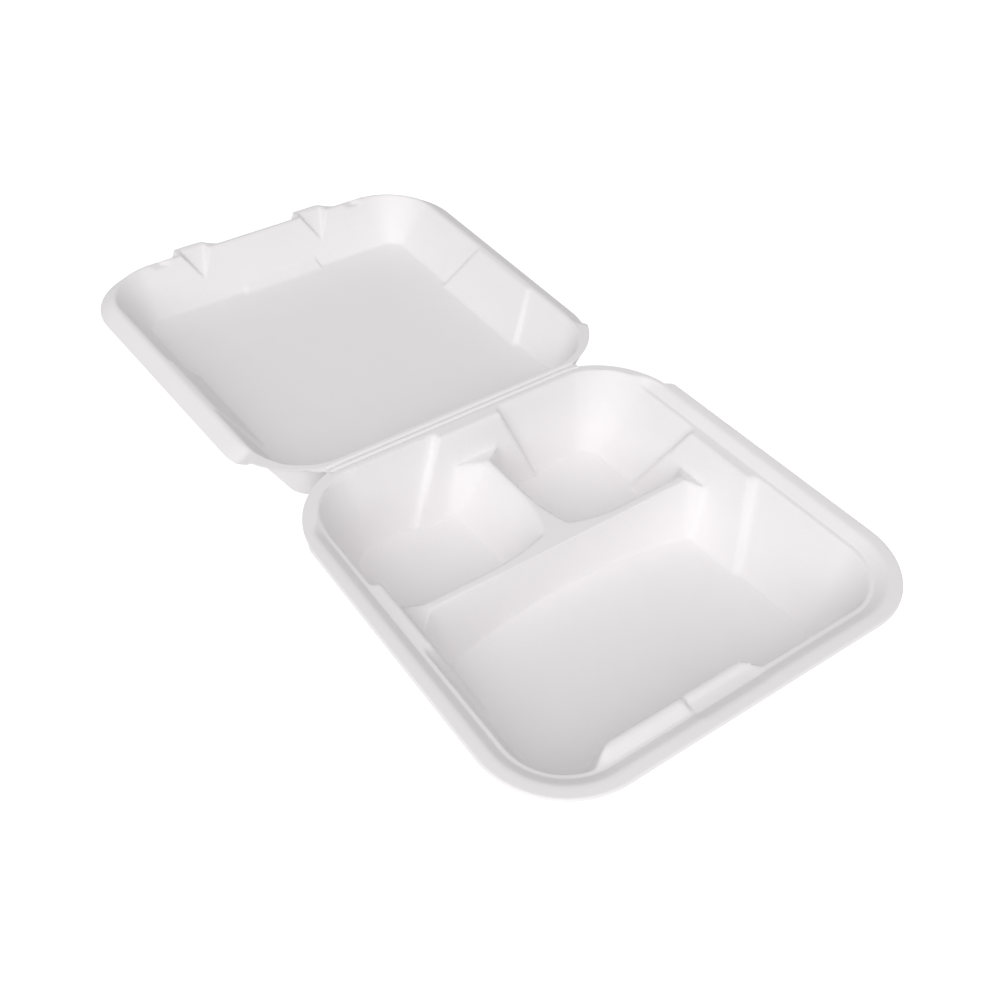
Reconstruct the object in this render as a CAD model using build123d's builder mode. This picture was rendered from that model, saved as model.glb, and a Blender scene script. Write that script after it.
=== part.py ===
import os

from build123d import *

os.makedirs("parts", exist_ok=True)

# Takeaway box of moulded white foam, three compartments and a hinged lid, lying open.
# Millimetres. X runs along the hinge, +Y points from the front latch to the lid, +Z is up.
# The origin is the centre of the tray's underside.

# Overall sizes
box_width = 230.0
tray_length = 222.0
tray_height = 49.0
lid_depth = 28.8
tray_foam = 2.6
lid_foam = 2.3
front_corner = 43.5
hinge_corner = 44.0
hinge_taper = 4.5
lid_tilt = -0.8

# Helper lengths of the cuts: how far a block runs past the wall it trims, and how far pieces lap
run_out = 30.0
lap = 1.0

# Fit between lid and tray
fold_gap = 0.5

half_width = box_width / 2
front_y = -tray_length / 2
fold_y = tray_length / 2
rim_z = tray_height
pivot_z = rim_z + fold_gap / 2
tray_back = fold_y - fold_gap / 2
lid_near = fold_y + fold_gap / 2
lid_far = fold_y + tray_length
taper_length = tray_length - front_corner

# Tray rim: flat brim, rolled outer lip and a small step down to a ledge
brim_width = 9.2
step_width = 1.2
ledge_width = 2.2
step_depth = 3.0
lip_drop = 4.2
lip_radius = 2.4
lip_end = 38.0
corner_setback = 2.0
ledge_z = rim_z - step_depth

# Tray walls, measured on the inside
side_inset = 34.3
front_inset = 32.0
back_inset = 17.5
back_strip = 3.6
floor_corner = 9.0
mouth_front_corner = 31.0
mouth_back_corner = 31.0
wall_lean = 1.11
mouth_half = half_width - brim_width - step_width - ledge_width
mouth_front = front_y + brim_width + step_width + ledge_width
floor_half = half_width - side_inset
floor_front = front_y + front_inset
floor_back = fold_y - back_inset
side_slope = (mouth_half - floor_half) / (ledge_z - tray_foam)
front_slope = (floor_front - mouth_front) / (ledge_z - tray_foam)
back_slope = (back_inset - back_strip) / (rim_z - tray_foam)
tray_skin = tray_foam * wall_lean

# Stacking panels pressed into the walls
panel_top_half = 21.5
panel_foot_half = 41.5
panel_top_step = 4.5
panel_foot_step = 3.0
side_panel_from_fold = 96.0
side_panel_y = fold_y - side_panel_from_fold

# Latch shelf pressed into the front wall
shelf_left = -64.0
shelf_right = 9.0
shelf_left_run = 15.0
shelf_right_run = 9.0
shelf_reach = 7.6
shelf_foot_reach = 2.0
trough_left = -24.0
trough_right = 7.0
trough_depth = 3.0
shelf_lip = 1.5

# Dividers
under_z = -2.0
crest_drop = 15.5
crest_from_fold = 92.0
crest_width = 4.4
ridge_foot_from_fold = 93.0
ridge_foot_bow = 20.5
ridge_end_bow = 12.3
ridge_back_run = 15.0
ridge_reach = 100.0
crest_z = rim_z - crest_drop
crest_front = fold_y - crest_from_fold
crest_back = crest_front + crest_width
ridge_foot_front = fold_y - ridge_foot_from_fold
ridge_end_front = ridge_foot_front - ridge_end_bow
ridge_foot_back = crest_back + ridge_back_run
post_foot_half = 18.0
flare_top = 13.0
flare_foot = 1.5
flare_root = 2.0
fork_round = 12.0
crest_foam = 5.5
hollow_width = 1.2
hollow_z = crest_z - crest_foam

# Lid rim and walls, measured on the inside
skirt_width = 6.0
skirt_drop = 5.3
skirt_bend_drop = 0.6
skirt_crest_share = 1.25
skirt_foot_foam = 3.6
skirt_head_foam = 7.4
skirt_far_share = 0.9
skirt_near_lap = 4.0
skirt_trim_start = 3.0
ridge_width = 5.2
far_skirt_width = 5.0
far_ridge_width = 3.4
lid_side_inset = 28.1
lid_far_inset = 24.5
lid_near_inset = 17.0
lid_floor_corner = 10.0
lid_far_corner = 30.0
lid_near_corner = 32.0
lid_wall_lean = 1.15
lid_mouth_half = half_width - skirt_width - ridge_width
lid_mouth_far = lid_far - far_skirt_width - far_ridge_width
lid_floor_z = rim_z - lid_depth + lid_foam
lid_floor_half = half_width - lid_side_inset
lid_floor_far = lid_far - lid_far_inset
lid_floor_near = fold_y + lid_near_inset
lid_mouth_near = fold_y + back_strip
lid_side_slope = (lid_mouth_half - lid_floor_half) / (rim_z - lid_floor_z)
lid_far_slope = (lid_mouth_far - lid_floor_far) / (rim_z - lid_floor_z)
lid_near_slope = (lid_floor_near - lid_mouth_near) / (rim_z - lid_floor_z)
lid_skin = lid_foam * lid_wall_lean

# Lid panels and far pocket
lid_panel_from_fold = 99.0
lid_panel_top_half = 26.0
lid_panel_foot_half = 38.0
lid_panel_step = 3.2
far_pocket_half = 24.0
far_pocket_reach = 9.5
far_pocket_root = 5.0
lid_panel_y = fold_y + lid_panel_from_fold

# Latch tabs on the lid's far edge, each with a pocket that narrows down the wall
tab_x = 40.0
tab_left = 13.0
tab_flat_right = 3.5
tab_right = 13.5
tab_out = 1.9
tab_thick = 2.4
chute_foot = -2.8
chute_left = 11.2
chute_tip = 5.4
chute_right = 6.4
chute_reach = 6.4
chute_drop = 13.7
chute_foot_half = 0.5
chute_foot_reach = 0.3
dent_x = 65.0
dent_half = 4.5
dent_reach = 3.0
dent_depth = 1.6

# Creases of the fold
crease_half = 77.0
crease_y = 1.75
crease_half_width = 0.8
crease_depth = 0.9
crease_kink = 0.6


def side_x(half, y_place):
    """Half width at a place: the sides lean in towards the fold by the hinge taper."""
    return half * (1 - hinge_taper / half_width * (1 - abs(y_place - fold_y) / taper_length))


def outline(half, near, far, near_radius, far_radius):
    """Tapered rectangle with round corners, one radius on the -Y side and one on the +Y side."""
    lean = (side_x(half, near) - side_x(half, far)) / (far - near)
    slant = (1 + lean * lean) ** 0.5
    near_x = side_x(half, near) - lean * near_radius - near_radius * slant
    far_x = side_x(half, far) + lean * far_radius - far_radius * slant
    out_x, out_y = 1 / slant, lean / slant
    near_bend = (out_x**2 + (out_y - 1) ** 2) ** 0.5
    far_bend = (out_x**2 + (out_y + 1) ** 2) ** 0.5
    corners = []
    for side in (1, -1):
        corners.append((side * near_x, near))
        corners.append(
            (
                side * (near_x + near_radius * out_x / near_bend),
                near + near_radius + near_radius * (out_y - 1) / near_bend,
            )
        )
        corners.append((side * (near_x + near_radius * out_x), near + near_radius + near_radius * out_y))
        corners.append((side * (far_x + far_radius * out_x), far - far_radius + far_radius * out_y))
        corners.append(
            (
                side * (far_x + far_radius * out_x / far_bend),
                far - far_radius + far_radius * (out_y + 1) / far_bend,
            )
        )
        corners.append((side * far_x, far))
    with BuildLine() as edge:
        Line(corners[6], corners[0])
        ThreePointArc(corners[0], corners[1], corners[2])
        Line(corners[2], corners[3])
        ThreePointArc(corners[3], corners[4], corners[5])
        Line(corners[5], corners[11])
        ThreePointArc(corners[11], corners[10], corners[9])
        Line(corners[9], corners[8])
        ThreePointArc(corners[8], corners[7], corners[6])
    return edge.edges()


def flare(x_place, y_place, radius, x_way, y_way):
    """Corner filler with a hollow arc; it runs a little into the two walls it joins."""
    with BuildLine() as edge:
        Polyline(
            (x_place, y_place + y_way * radius),
            (x_place - x_way * flare_root, y_place + y_way * radius),
            (x_place - x_way * flare_root, y_place - y_way * flare_root),
            (x_place + x_way * radius, y_place - y_way * flare_root),
            (x_place + x_way * radius, y_place),
        )
        CenterArc(
            (x_place + x_way * radius, y_place + y_way * radius),
            radius,
            {(1, 1): 180, (-1, 1): 270, (-1, -1): 0, (1, -1): 90}[(x_way, y_way)],
            90,
        )
    return edge.edges()


def block(x_low, x_high, y_low, y_high, mode=Mode.ADD):
    """Plain rectangle given by its sides."""
    with Locations(((x_low + x_high) / 2, (y_low + y_high) / 2)):
        Rectangle(x_high - x_low, y_high - y_low, mode=mode)


def side_block(side, wall, step, middle, spread):
    """Outline of a block from the face of a side panel outwards; the face leans like the wall."""
    with BuildLine() as edge:
        Polyline(
            (side * (side_x(wall, middle - spread) - step), middle - spread),
            (side * (side_x(wall, middle + spread) - step), middle + spread),
            (side * (wall + run_out), middle + spread),
            (side * (wall + run_out), middle - spread),
            close=True,
        )
    return edge.edges()


def tray_inside(level):
    """Inner half width, front and back of the tray wall at a height."""
    rise = level - tray_foam
    return floor_half + rise * side_slope, floor_front - rise * front_slope, floor_back + rise * back_slope


def tray_panel(level):
    """Half length and step of a tray panel at a height."""
    share = (level - under_z) / (ledge_z - under_z)
    spread = panel_foot_half + share * (panel_top_half - panel_foot_half)
    return spread, panel_foot_step + share * (panel_top_step - panel_foot_step)


def shelf_edge(level, skin):
    """Outline of the latch shelf at a height, moved outwards by the wall."""
    share = (level - under_z) / (ledge_z - under_z)
    wall = tray_inside(level)[1]
    reach = shelf_foot_reach + share * (shelf_reach - shelf_foot_reach) - skin
    with BuildLine() as edge:
        Polyline(
            (shelf_left - shelf_left_run + skin, wall - run_out),
            (shelf_left - shelf_left_run + skin, wall - skin),
            (shelf_left + skin, wall + reach),
            (shelf_right - skin, wall + reach),
            (shelf_right + shelf_right_run - skin, wall - skin),
            (shelf_right + shelf_right_run - skin, wall - run_out),
            close=True,
        )
    return edge.edges()


def lid_inside(level):
    """Inner half width, near and far side of the lid wall at a height."""
    rise = level - lid_floor_z
    half = lid_floor_half + rise * lid_side_slope
    return half, lid_floor_near - rise * lid_near_slope, lid_floor_far + rise * lid_far_slope


def lid_panel(level):
    """Half length of a lid panel at a height."""
    share = (level - lid_floor_z) / (rim_z - lid_floor_z)
    return lid_panel_foot_half + share * (lid_panel_top_half - lid_panel_foot_half)


def chute(middle, level, skin):
    """Triangle of a tab's chute at the rim or at its foot, grown by a skin on the outside."""
    wall = lid_inside(level)[2]
    left, tip, right, reach = -chute_left, chute_tip, chute_right, chute_reach
    if level < rim_z:
        left, tip, right = chute_foot - chute_foot_half, chute_foot, chute_foot + chute_foot_half
        reach = chute_foot_reach
    with BuildLine() as edge:
        Polyline(
            (middle + left - skin, wall - lap),
            (middle + tip, wall + reach + skin),
            (middle + right + skin, wall - lap),
            close=True,
        )
    return edge.edges()


wall_at_foot = side_x(tray_inside(under_z)[0], side_panel_y) - panel_foot_step
wall_at_crest = side_x(tray_inside(crest_z)[0], side_panel_y) - panel_top_step
back_at_foot = tray_inside(under_z)[2] - panel_foot_step
back_at_crest = tray_inside(crest_z)[2] - panel_top_step


# Room inside the tray. It starts below the floor so that it can also bound the hollow dividers.
with BuildPart() as tray_room:
    for level in (under_z, ledge_z):
        half, near, far = tray_inside(level)
        front_round = floor_corner if level == under_z else mouth_front_corner
        back_round = floor_corner if level == under_z else mouth_back_corner
        with BuildSketch(Plane.XY.offset(level)):
            make_face(outline(half, near, far, front_round, back_round))
    loft(ruled=True)
    for side in (-1, 1):
        for level in (under_z, ledge_z):
            spread, step = tray_panel(level)
            with BuildSketch(Plane.XY.offset(level)):
                make_face(side_block(side, tray_inside(level)[0], step, side_panel_y, spread))
        loft(ruled=True, mode=Mode.SUBTRACT)
    for level in (under_z, ledge_z):
        spread, step = tray_panel(level)
        far = tray_inside(level)[2]
        with BuildSketch(Plane.XY.offset(level)):
            block(-spread, spread, far - step, far + run_out)
    loft(ruled=True, mode=Mode.SUBTRACT)
    for level in (under_z, ledge_z):
        with BuildSketch(Plane.XY.offset(level)):
            make_face(shelf_edge(level, 0))
    loft(ruled=True, mode=Mode.SUBTRACT)

# Dividers: one ridge across the tray with a bowed front foot, one from its middle to the back wall
with BuildPart() as dividers:
    with BuildSketch(Plane.XY.offset(under_z)):
        with BuildLine():
            ThreePointArc(
                (-ridge_reach, ridge_foot_front - ridge_foot_bow),
                (0, ridge_foot_front),
                (ridge_reach, ridge_foot_front - ridge_foot_bow),
            )
            Polyline(
                (ridge_reach, ridge_foot_front - ridge_foot_bow),
                (ridge_reach, ridge_foot_back),
                (-ridge_reach, ridge_foot_back),
                (-ridge_reach, ridge_foot_front - ridge_foot_bow),
            )
        make_face()
    with BuildSketch(Plane.XY.offset(crest_z)):
        block(-ridge_reach, ridge_reach, crest_front, crest_back)
    loft(ruled=True)
    with BuildSketch(Plane.XY.offset(under_z)):
        block(-post_foot_half, post_foot_half, crest_front + lap, fold_y)
    with BuildSketch(Plane.XY.offset(crest_z)):
        block(-crest_width / 2, crest_width / 2, crest_front + lap, fold_y)
    loft(ruled=True)
    for side in (-1, 1):
        # at the side walls, in front of and behind the ridge
        with BuildSketch(Plane.XY.offset(under_z)):
            make_face(flare(side * wall_at_foot, ridge_end_front, flare_foot, -side, -1))
        with BuildSketch(Plane.XY.offset(crest_z)):
            make_face(flare(side * wall_at_crest, crest_front, flare_top, -side, -1))
        loft(ruled=True)
        with BuildSketch(Plane.XY.offset(under_z)):
            make_face(flare(side * wall_at_foot, ridge_foot_back, flare_foot, -side, 1))
        with BuildSketch(Plane.XY.offset(crest_z)):
            make_face(flare(side * wall_at_crest, crest_back, flare_top, -side, 1))
        loft(ruled=True)
        # at the back wall and in the fork
        with BuildSketch(Plane.XY.offset(under_z)):
            make_face(flare(side * post_foot_half, back_at_foot, flare_foot, side, -1))
        with BuildSketch(Plane.XY.offset(crest_z)):
            make_face(flare(side * crest_width / 2, back_at_crest, flare_top, side, -1))
        loft(ruled=True)
        with BuildSketch(Plane.XY.offset(under_z)):
            make_face(flare(side * post_foot_half, ridge_foot_back, flare_foot, side, 1))
        with BuildSketch(Plane.XY.offset(crest_z)):
            make_face(flare(side * crest_width / 2, crest_back, fork_round, side, 1))
        loft(ruled=True)

# Hollow underside of the dividers, one wall thickness inside them
with BuildPart() as hollows:
    with BuildSketch(Plane.XY.offset(under_z)):
        with BuildLine():
            ThreePointArc(
                (-ridge_reach, ridge_foot_front - ridge_foot_bow + tray_skin),
                (0, ridge_foot_front + tray_skin),
                (ridge_reach, ridge_foot_front - ridge_foot_bow + tray_skin),
            )
            Polyline(
                (ridge_reach, ridge_foot_front - ridge_foot_bow + tray_skin),
                (ridge_reach, ridge_foot_back - tray_skin),
                (-ridge_reach, ridge_foot_back - tray_skin),
                (-ridge_reach, ridge_foot_front - ridge_foot_bow + tray_skin),
            )
        make_face()
    with BuildSketch(Plane.XY.offset(hollow_z)):
        block(-ridge_reach, ridge_reach, crest_front + tray_skin, crest_front + tray_skin + hollow_width)
    loft(ruled=True)
    with BuildSketch(Plane.XY.offset(under_z)):
        block(tray_skin - post_foot_half, post_foot_half - tray_skin, crest_back, fold_y)
    with BuildSketch(Plane.XY.offset(hollow_z)):
        block(-hollow_width / 2, hollow_width / 2, crest_back, fold_y)
    loft(ruled=True)
    add(tray_room.part, mode=Mode.INTERSECT)

# Space that the food fills: the room above the floor without the dividers
with BuildPart() as compartments:
    add(tray_room.part)
    with BuildSketch(Plane.XY.offset(under_z)):
        block(-half_width, half_width, front_y, fold_y)
    extrude(amount=tray_foam - under_z, mode=Mode.SUBTRACT)
    add(dividers.part, mode=Mode.SUBTRACT)

# Rolled outer lip of the tray, a U that stops short of the hinge
with BuildPart() as tray_lip:
    with BuildSketch(Plane.XY.offset(rim_z - lip_drop)):
        make_face(outline(half_width, front_y, fold_y, front_corner, hinge_corner))
        block(-half_width, half_width, fold_y - lip_end, fold_y, mode=Mode.SUBTRACT)
    extrude(amount=lip_drop)
    fillet(tray_lip.faces().sort_by(Axis.Z)[-1].edges().sort_by(Axis.Y)[:-1], lip_radius)
    with BuildSketch(Plane.XY.offset(rim_z - lip_drop)):
        make_face(
            outline(
                half_width - tray_foam,
                front_y + tray_foam,
                fold_y,
                front_corner - tray_foam,
                hinge_corner - tray_foam,
            )
        )
    extrude(amount=lip_drop - tray_foam, mode=Mode.SUBTRACT)

# Tray: outer shell with the panels pressed in, rim added, then the inside taken out
with BuildPart() as tray:
    for level in (0, ledge_z):
        half, near, far = tray_inside(level)
        front_round = floor_corner if level == 0 else mouth_front_corner
        back_round = floor_corner if level == 0 else mouth_back_corner
        with BuildSketch(Plane.XY.offset(level)):
            make_face(
                outline(
                    half + tray_skin,
                    near - tray_skin,
                    far + tray_skin,
                    front_round + tray_skin,
                    back_round + tray_skin,
                )
            )
    loft(ruled=True)
    for side in (-1, 1):
        for level in (under_z, ledge_z - tray_foam):
            spread, step = tray_panel(level)
            with BuildSketch(Plane.XY.offset(level)):
                face = side_block(
                    side,
                    tray_inside(level)[0] + tray_skin,
                    step,
                    side_panel_y,
                    spread - tray_skin,
                )
                make_face(face)
        loft(ruled=True, mode=Mode.SUBTRACT)
    for level in (under_z, ledge_z - tray_foam):
        spread, step = tray_panel(level)
        far = tray_inside(level)[2] + tray_skin
        with BuildSketch(Plane.XY.offset(level)):
            block(tray_skin - spread, spread - tray_skin, far - step, far + run_out)
    loft(ruled=True, mode=Mode.SUBTRACT)
    for level in (under_z, ledge_z - tray_foam - trough_depth):
        with BuildSketch(Plane.XY.offset(level)):
            make_face(shelf_edge(level, tray_skin))
    loft(ruled=True, mode=Mode.SUBTRACT)
    # brim, step and ledge
    add(tray_lip.part)
    with BuildSketch(Plane.XY.offset(rim_z - tray_foam)):
        make_face(
            outline(
                half_width - corner_setback,
                front_y + corner_setback,
                tray_back,
                front_corner - corner_setback,
                hinge_corner - corner_setback,
            )
        )
    extrude(amount=tray_foam)
    for level, inset in ((ledge_z - tray_foam, brim_width + step_width), (rim_z, brim_width)):
        with BuildSketch(Plane.XY.offset(level)):
            make_face(
                outline(
                    half_width - inset + tray_foam,
                    front_y + inset - tray_foam,
                    tray_inside(level)[2] + tray_skin,
                    front_corner - inset + tray_foam,
                    mouth_back_corner + tray_foam,
                )
            )
    loft(ruled=True)
    for level, inset in ((ledge_z, brim_width + step_width), (rim_z, brim_width)):
        with BuildSketch(Plane.XY.offset(level)):
            make_face(
                outline(
                    half_width - inset,
                    front_y + inset,
                    tray_inside(level)[2],
                    front_corner - inset,
                    mouth_back_corner,
                )
            )
    loft(ruled=True, mode=Mode.SUBTRACT)
    add(compartments.part, mode=Mode.SUBTRACT)
    add(hollows.part, mode=Mode.SUBTRACT)
    # trough in the latch shelf, leaving a thin lip
    with BuildSketch(Plane.YZ.offset(trough_left)):
        with BuildLine():
            Polyline(
                (mouth_front - ledge_width, ledge_z),
                (mouth_front + shelf_reach - shelf_lip, ledge_z),
                (mouth_front + shelf_reach - shelf_lip, ledge_z - trough_depth),
                close=True,
            )
        make_face()
    extrude(amount=trough_right - trough_left, mode=Mode.SUBTRACT)
    # crease
    with BuildSketch(Plane.YZ.offset(-crease_half)):
        with BuildLine():
            Polyline(
                (fold_y - crease_y - crease_half_width, rim_z),
                (fold_y - crease_y, rim_z - crease_depth),
                (fold_y - crease_y + crease_half_width, rim_z),
                close=True,
            )
        make_face()
    extrude(amount=2 * crease_half, mode=Mode.SUBTRACT)

# Room inside the lid, as it lies level with its floor down
with BuildPart() as lid_room:
    for level in (lid_floor_z, rim_z):
        half, near, far = lid_inside(level)
        near_round = lid_floor_corner if level < rim_z else lid_near_corner
        far_round = lid_floor_corner if level < rim_z else lid_far_corner
        with BuildSketch(Plane.XY.offset(level)):
            make_face(outline(half, near, far, near_round, far_round))
    loft(ruled=True)
    for side in (-1, 1):
        for level in (lid_floor_z, rim_z):
            with BuildSketch(Plane.XY.offset(level)):
                make_face(side_block(side, lid_inside(level)[0], lid_panel_step, lid_panel_y, lid_panel(level)))
        loft(ruled=True, mode=Mode.SUBTRACT)
    # pocket in the foot of the far wall
    with BuildSketch(Plane.YZ.offset(-far_pocket_half)):
        with BuildLine():
            Polyline(
                (lid_floor_far - far_pocket_root, lid_floor_z),
                (lid_floor_far + far_pocket_reach, lid_floor_z),
                (lid_mouth_far, rim_z),
                (lid_mouth_far - far_pocket_root, rim_z),
                close=True,
            )
        make_face()
    extrude(amount=2 * far_pocket_half)

# Sloping skirt around the lid
with BuildPart() as lid_skirt:
    for drop, inset in ((skirt_drop, 0), (skirt_bend_drop, 1), (0, skirt_crest_share)):
        with BuildSketch(Plane.XY.offset(rim_z - drop)):
            make_face(
                outline(
                    half_width - inset * skirt_width,
                    lid_near,
                    lid_far - inset * far_skirt_width,
                    hinge_corner - inset * skirt_width,
                    front_corner - inset * skirt_width,
                )
            )
    loft(ruled=True)
    for level, inset in ((rim_z - skirt_drop, skirt_foot_foam), (rim_z - lid_foam, skirt_head_foam)):
        with BuildSketch(Plane.XY.offset(level)):
            make_face(
                outline(
                    half_width - inset,
                    lid_near - skirt_near_lap,
                    lid_far - skirt_far_share * inset,
                    hinge_corner - inset,
                    front_corner - inset,
                )
            )
    loft(ruled=True, mode=Mode.SUBTRACT)
    # the skirt is cut back a little around the two hinge corners
    for side in (-1, 1):
        corner = sorted((side * (crease_half + skirt_trim_start), side * (half_width + lap)))
        with BuildSketch(Plane.XY.offset(rim_z - skirt_drop - lap)):
            block(corner[0], corner[1], fold_y - lap, fold_y + lip_end)
            make_face(
                outline(
                    half_width - corner_setback,
                    lid_near + crease_kink,
                    lid_far,
                    hinge_corner - corner_setback,
                    front_corner,
                ),
                mode=Mode.SUBTRACT,
            )
        extrude(amount=skirt_drop + 2 * lap, mode=Mode.SUBTRACT)

# Lid in the level position
with BuildPart() as level_lid:
    for level in (lid_floor_z - lid_foam, rim_z):
        half, near, far = lid_inside(level)
        near_round = lid_floor_corner if level < rim_z else lid_near_corner
        far_round = lid_floor_corner if level < rim_z else lid_far_corner
        with BuildSketch(Plane.XY.offset(level)):
            make_face(
                outline(
                    half + lid_skin,
                    near - lid_skin,
                    far + lid_skin,
                    near_round + lid_skin,
                    far_round + lid_skin,
                )
            )
    loft(ruled=True)
    for side in (-1, 1):
        for level in (lid_floor_z - lid_foam, rim_z - lid_foam):
            with BuildSketch(Plane.XY.offset(level)):
                face = side_block(
                    side,
                    lid_inside(level)[0] + lid_skin,
                    lid_panel_step,
                    lid_panel_y,
                    lid_panel(level) - lid_skin,
                )
                make_face(face)
        loft(ruled=True, mode=Mode.SUBTRACT)
    with BuildSketch(Plane.YZ.offset(-far_pocket_half - lid_skin)):
        with BuildLine():
            Polyline(
                (lid_floor_far - far_pocket_root, lid_floor_z - lid_foam),
                (lid_floor_far + far_pocket_reach + lid_skin, lid_floor_z - lid_foam),
                (lid_mouth_far + lid_skin, rim_z - lid_foam),
                (lid_mouth_far - far_pocket_root, rim_z - lid_foam),
                close=True,
            )
        make_face()
    extrude(amount=2 * (far_pocket_half + lid_skin))
    add(lid_skirt.part)
    # latch tabs, each with a wedge under it that holds the chute
    for middle in (-tab_x, tab_x):
        with BuildSketch(Plane.XY.offset(rim_z - tab_thick)):
            with BuildLine():
                Polyline(
                    (middle - tab_left, lid_mouth_far - lap),
                    (middle - tab_left, lid_far + tab_out),
                    (middle + tab_flat_right, lid_far + tab_out),
                    (middle + tab_right, lid_mouth_far - lap),
                    close=True,
                )
            make_face()
        extrude(amount=tab_thick)
        for level in (rim_z - chute_drop, rim_z):
            with BuildSketch(Plane.XY.offset(level)):
                make_face(chute(middle, level, lid_skin))
        loft(ruled=True)
    add(lid_room.part, mode=Mode.SUBTRACT)
    for middle in (-tab_x, tab_x):
        for level in (rim_z - chute_drop + lap, rim_z):
            with BuildSketch(Plane.XY.offset(level)):
                make_face(chute(middle, level, 0))
        loft(ruled=True, mode=Mode.SUBTRACT)
    # small dents in the far rim beside the tabs
    for middle in (-dent_x, dent_x):
        with BuildSketch(Plane.XY.offset(rim_z)):
            with BuildLine():
                Polyline(
                    (middle - dent_half, lid_mouth_far - lap),
                    (middle, lid_mouth_far + dent_reach),
                    (middle + dent_half, lid_mouth_far - lap),
                    close=True,
                )
            make_face()
        extrude(amount=-dent_depth, mode=Mode.SUBTRACT)
    # crease
    with BuildSketch(Plane.YZ.offset(-crease_half)):
        with BuildLine():
            Polyline(
                (fold_y + crease_y - crease_half_width, rim_z),
                (fold_y + crease_y, rim_z - crease_depth),
                (fold_y + crease_y + crease_half_width, rim_z),
                close=True,
            )
        make_face()
    extrude(amount=2 * crease_half, mode=Mode.SUBTRACT)

# Lid as it lies in the open box, turned about the fold
fold_line = Axis((0, fold_y, pivot_z), (1, 0, 0))
with BuildPart() as lid:
    add(level_lid.part.rotate(fold_line, lid_tilt))

tray.part.label = "tray"
export_step(tray.part, "parts/tray.step")

lid.part.label = "lid"
export_step(lid.part, "parts/lid.step")
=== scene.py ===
# %% [markdown]
# # A foam takeaway box, lying open
# The real box is one sheet of white foam, heated and pressed between two moulds. It has a deep
# tray with three compartments, a shallower lid, and a crease that joins them.
# The CAD frame holds the two bodies that move and the main sizes. Here the same moulding is drawn
# again as a sheet with soft, rounded edges, because a mould can't press foam into a sharp corner.

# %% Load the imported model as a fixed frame
import math

import bpy
import numpy as np
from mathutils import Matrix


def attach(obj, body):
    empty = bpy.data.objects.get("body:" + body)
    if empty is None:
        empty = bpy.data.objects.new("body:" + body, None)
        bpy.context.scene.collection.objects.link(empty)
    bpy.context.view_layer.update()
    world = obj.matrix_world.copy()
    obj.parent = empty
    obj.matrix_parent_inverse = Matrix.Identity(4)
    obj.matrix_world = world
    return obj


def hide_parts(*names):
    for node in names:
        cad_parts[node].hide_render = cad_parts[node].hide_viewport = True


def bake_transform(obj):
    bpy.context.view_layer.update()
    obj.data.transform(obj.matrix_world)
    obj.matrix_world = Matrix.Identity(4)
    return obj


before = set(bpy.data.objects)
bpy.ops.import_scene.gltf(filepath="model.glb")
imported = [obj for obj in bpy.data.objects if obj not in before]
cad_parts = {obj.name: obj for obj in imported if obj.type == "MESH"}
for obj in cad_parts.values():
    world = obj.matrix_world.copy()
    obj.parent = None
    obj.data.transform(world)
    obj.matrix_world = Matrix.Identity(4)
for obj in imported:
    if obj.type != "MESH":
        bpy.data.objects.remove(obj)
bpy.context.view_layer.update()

# %% [markdown]
# ## One kind of shape for the whole box
# A pressed sheet has no overhangs: seen from above, each point of its skin has one height.
# So the skin could be cut from many faces, or it can be written as one function, the height at
# (x, y). The second way is chosen. Every wall, panel and divider is its own simple height, and
# they are joined by taking the higher or the lower one, with a small rounding at the join.

# %% Joining two heights with a soft edge
mm = 0.001


def soft_max(first, second, rounding):
    """The higher of two heights, with a soft edge where they cross.

    It adds a quarter of the rounding times the square of how close the two are.
    """
    closeness = np.maximum(rounding - np.abs(first - second), 0.0) / rounding
    return np.maximum(first, second) + 0.25 * rounding * closeness**2


def soft_min(first, second, rounding):
    """The lower of two heights, with the same soft edge taken off instead of added."""
    return -soft_max(-first, -second, rounding)


def ease(value, start, end):
    """0 before start, 1 after end; between, three times the share squared less twice its cube."""
    share = np.clip((value - start) / (end - start), 0.0, 1.0)
    return share * share * (3.0 - 2.0 * share)


def between(value, left, right):
    """1 inside a stretch and 0 outside: the lower of an ease up and an ease down."""
    return np.minimum(ease(value, *left), 1.0 - ease(value, *right))


def plane_through(x, y, first, second, third):
    """Height of the plane through three points: the first point's plus its two slopes' share."""
    a, b, c = (np.array(p, float) for p in (first, second, third))
    normal = np.cross(b - a, c - a)
    return a[2] - (normal[0] * (x - a[0]) + normal[1] * (y - a[1])) / normal[2]


print("two equal heights joined with a rounding of 2 mm rise by", soft_max(0.0, 0.0, 2.0), "mm")

# %% [markdown]
# ## Rounded rectangles that grow with height
# Each wall of the box is the skin between a small rounded rectangle at its foot and a larger one
# at its top. A wall could be lofted as a mesh. Here its height is solved for instead: for each
# point, how far up does the growing outline pass through it? On a straight side that is a plain
# ratio. In a corner both the centre and the radius move, which gives a quadratic equation.

# %% Rounded outlines
def rounded(half, near, far, near_radius, far_radius):
    """Outline given by half its width, its two ends along Y and the corner radius at each end."""
    return np.array([half, near, far, near_radius, far_radius], float)


def inset_of(x, y, outline):
    """Distance inwards from an outline: the straight sides' distance, or the arc's in a corner."""
    half, near, far, near_radius, far_radius = outline
    at_far = y > (near + far) / 2
    radius = np.where(at_far, far_radius, near_radius)
    past_x = np.abs(x) - half + radius
    past_y = np.where(at_far, y - far, near - y) + radius
    corner = np.hypot(np.maximum(past_x, 0.0), np.maximum(past_y, 0.0))
    return radius - corner - np.minimum(np.maximum(past_x, past_y), 0.0)


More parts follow.
